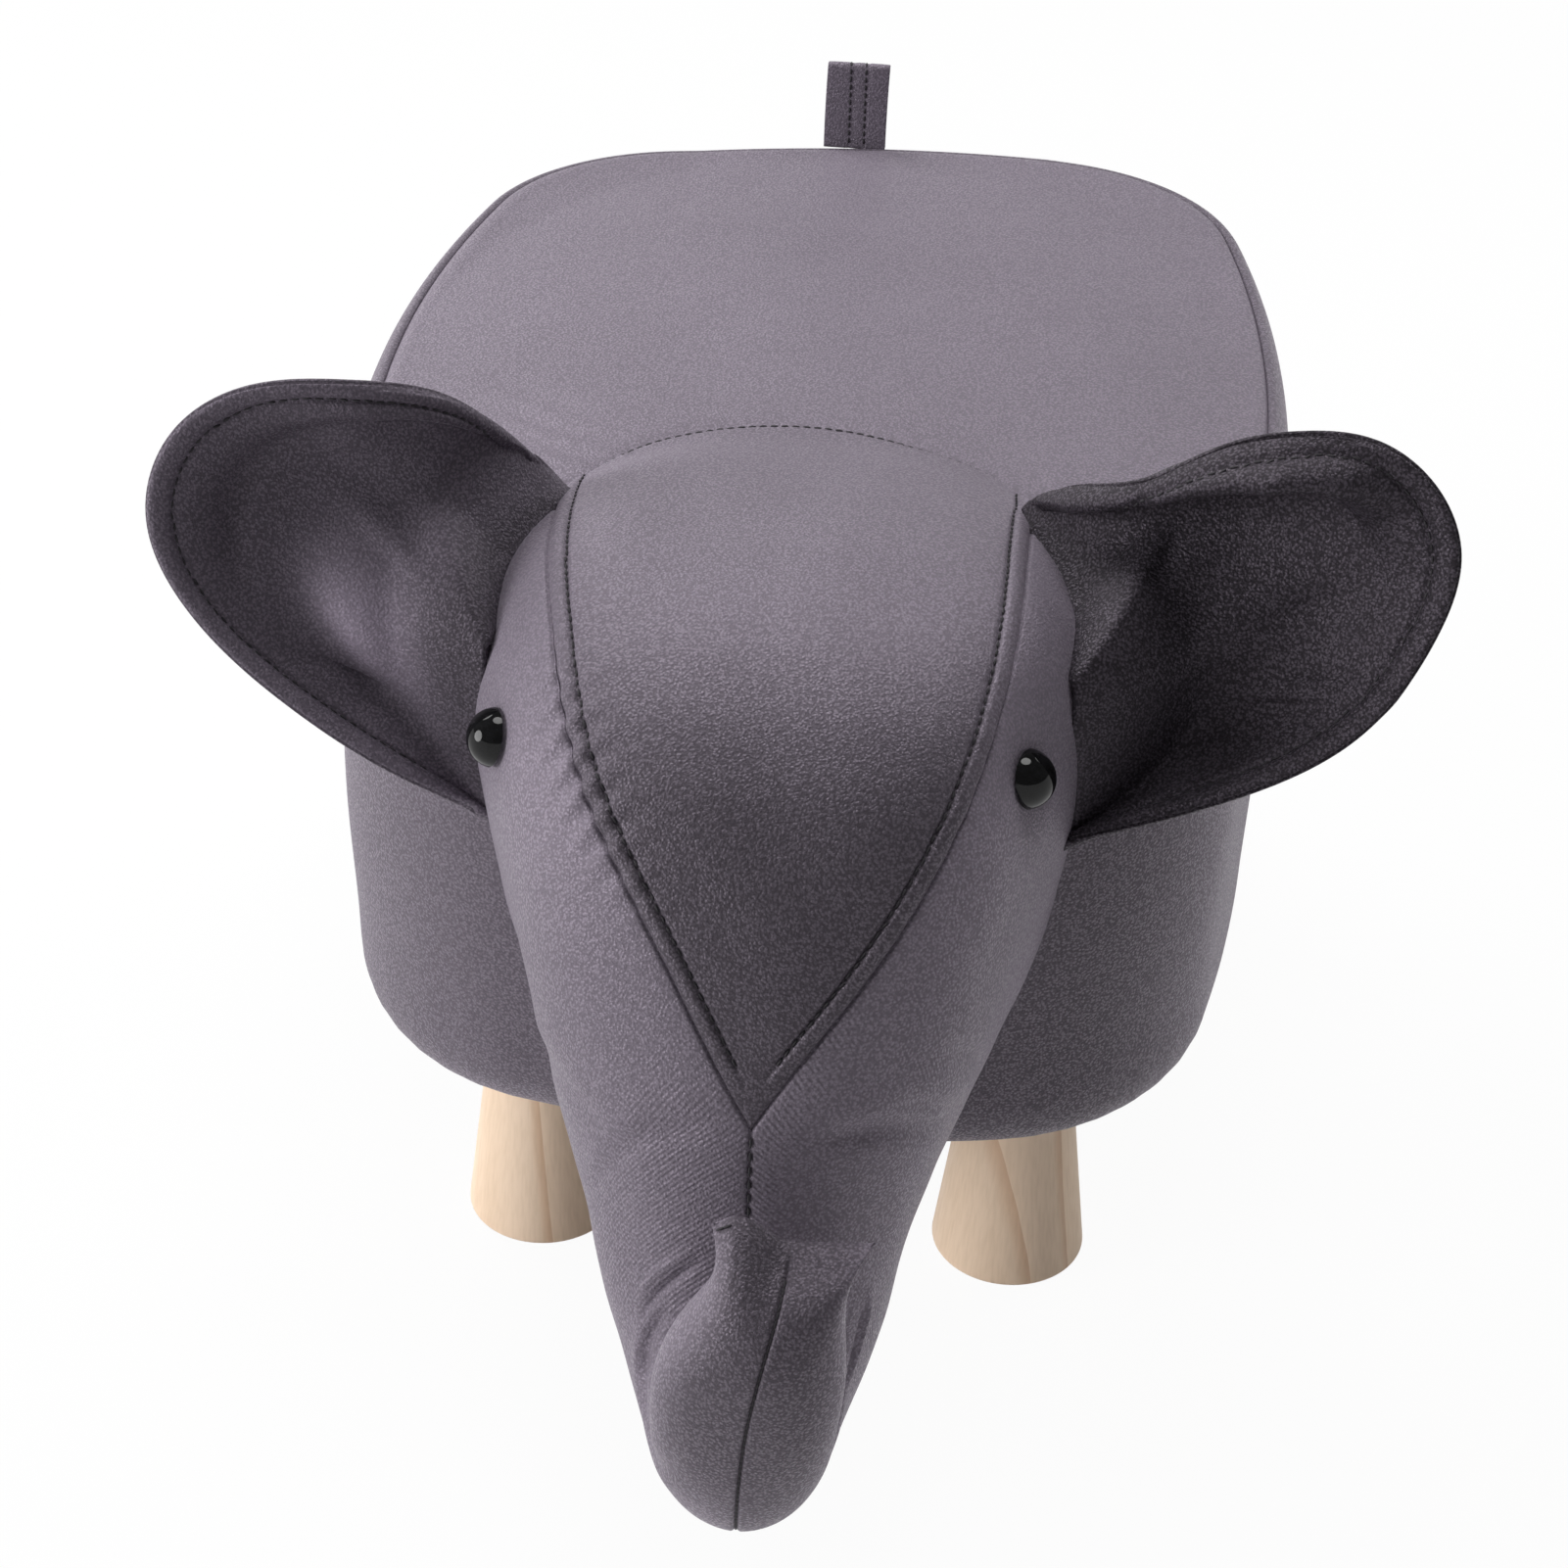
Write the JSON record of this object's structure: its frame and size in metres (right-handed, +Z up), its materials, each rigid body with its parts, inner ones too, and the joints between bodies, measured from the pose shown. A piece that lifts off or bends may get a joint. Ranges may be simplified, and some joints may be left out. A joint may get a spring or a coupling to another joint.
{
  "type": "footstool",
  "caption": "Padded oval footstool shaped like an elephant, with stuffed head and curled trunk, floppy ears, tail loop and tapered wooden legs.",
  "frame": {"origin": "centre of the bounding box on the floor plane, under the stool", "axes": "+Z up, the head looks along -Y, +X is the right hand of a viewer who faces the head"},
  "size_m": [0.38, 0.53, 0.3309],
  "materials": {
    "suede_cover": "grey-mauve distressed suede-look faux leather",
    "pine": "sanded pale pine, clear matt lacquer",
    "plywood": "raw plywood",
    "hardboard": "raw hardboard",
    "foam": "open-cell upholstery foam",
    "polyester_filling": "polyester fibre filling",
    "zinc_steel": "zinc plated",
    "eye_black": "polished black",
    "washer_plastic": "moulded white",
    "dust_cloth": "black non-woven cloth"
  },
  "bodies": {
    "stool": {"base_board": "plywood", "base_screws": "zinc_steel", "dust_cover": "dust_cloth", "eye_washers": "washer_plastic", "forehead_panel": "suede_cover", "front_left_leg": "pine", "front_left_post": "pine", "front_right_leg": "pine", "front_right_post": "pine", "head_filling": "polyester_filling", "left_eye": "eye_black", "left_face_panel": "suede_cover", "leg_bolts": "zinc_steel", "middle_left_post": "pine", "middle_right_post": "pine", "rear_left_leg": "pine", "rear_left_post": "pine", "rear_right_leg": "pine", "rear_right_post": "pine", "right_eye": "eye_black", "right_face_panel": "suede_cover", "seat_foam": "foam", "seat_panel": "suede_cover", "side_foam": "foam", "side_panel": "suede_cover", "staples": "zinc_steel", "tee_nuts": "zinc_steel", "top_board": "plywood", "top_screws": "zinc_steel", "trunk_filling": "polyester_filling", "trunk_tip_filling": "polyester_filling", "wall_board": "hardboard"},
    "left_ear": {"left_ear_front": "suede_cover", "left_ear_back": "suede_cover"},
    "right_ear": {"right_ear_front": "suede_cover", "right_ear_back": "suede_cover"},
    "tail": {"tail_loop": "suede_cover"}
  },
  "joints": [
    {"name": "left_ear_flap", "type": "hinge", "parent": "stool", "child": "left_ear", "pos_m": [-0.08499, -0.103, 0.292], "axis": [0, 0.309, 0.9511], "range_deg": [0, 55], "stiffness_Nm_per_rad": 0.03},
    {"name": "right_ear_flap", "type": "hinge", "parent": "stool", "child": "right_ear", "pos_m": [0.08499, -0.103, 0.292], "axis": [0, -0.309, -0.9511], "range_deg": [0, 55], "stiffness_Nm_per_rad": 0.03},
    {"name": "tail_flap", "type": "hinge", "parent": "stool", "child": "tail", "pos_m": [-0.006, 0.26024, 0.26787], "axis": [1, 0, 0], "range_deg": [-35, 50], "stiffness_Nm_per_rad": 0.02}
  ]
}
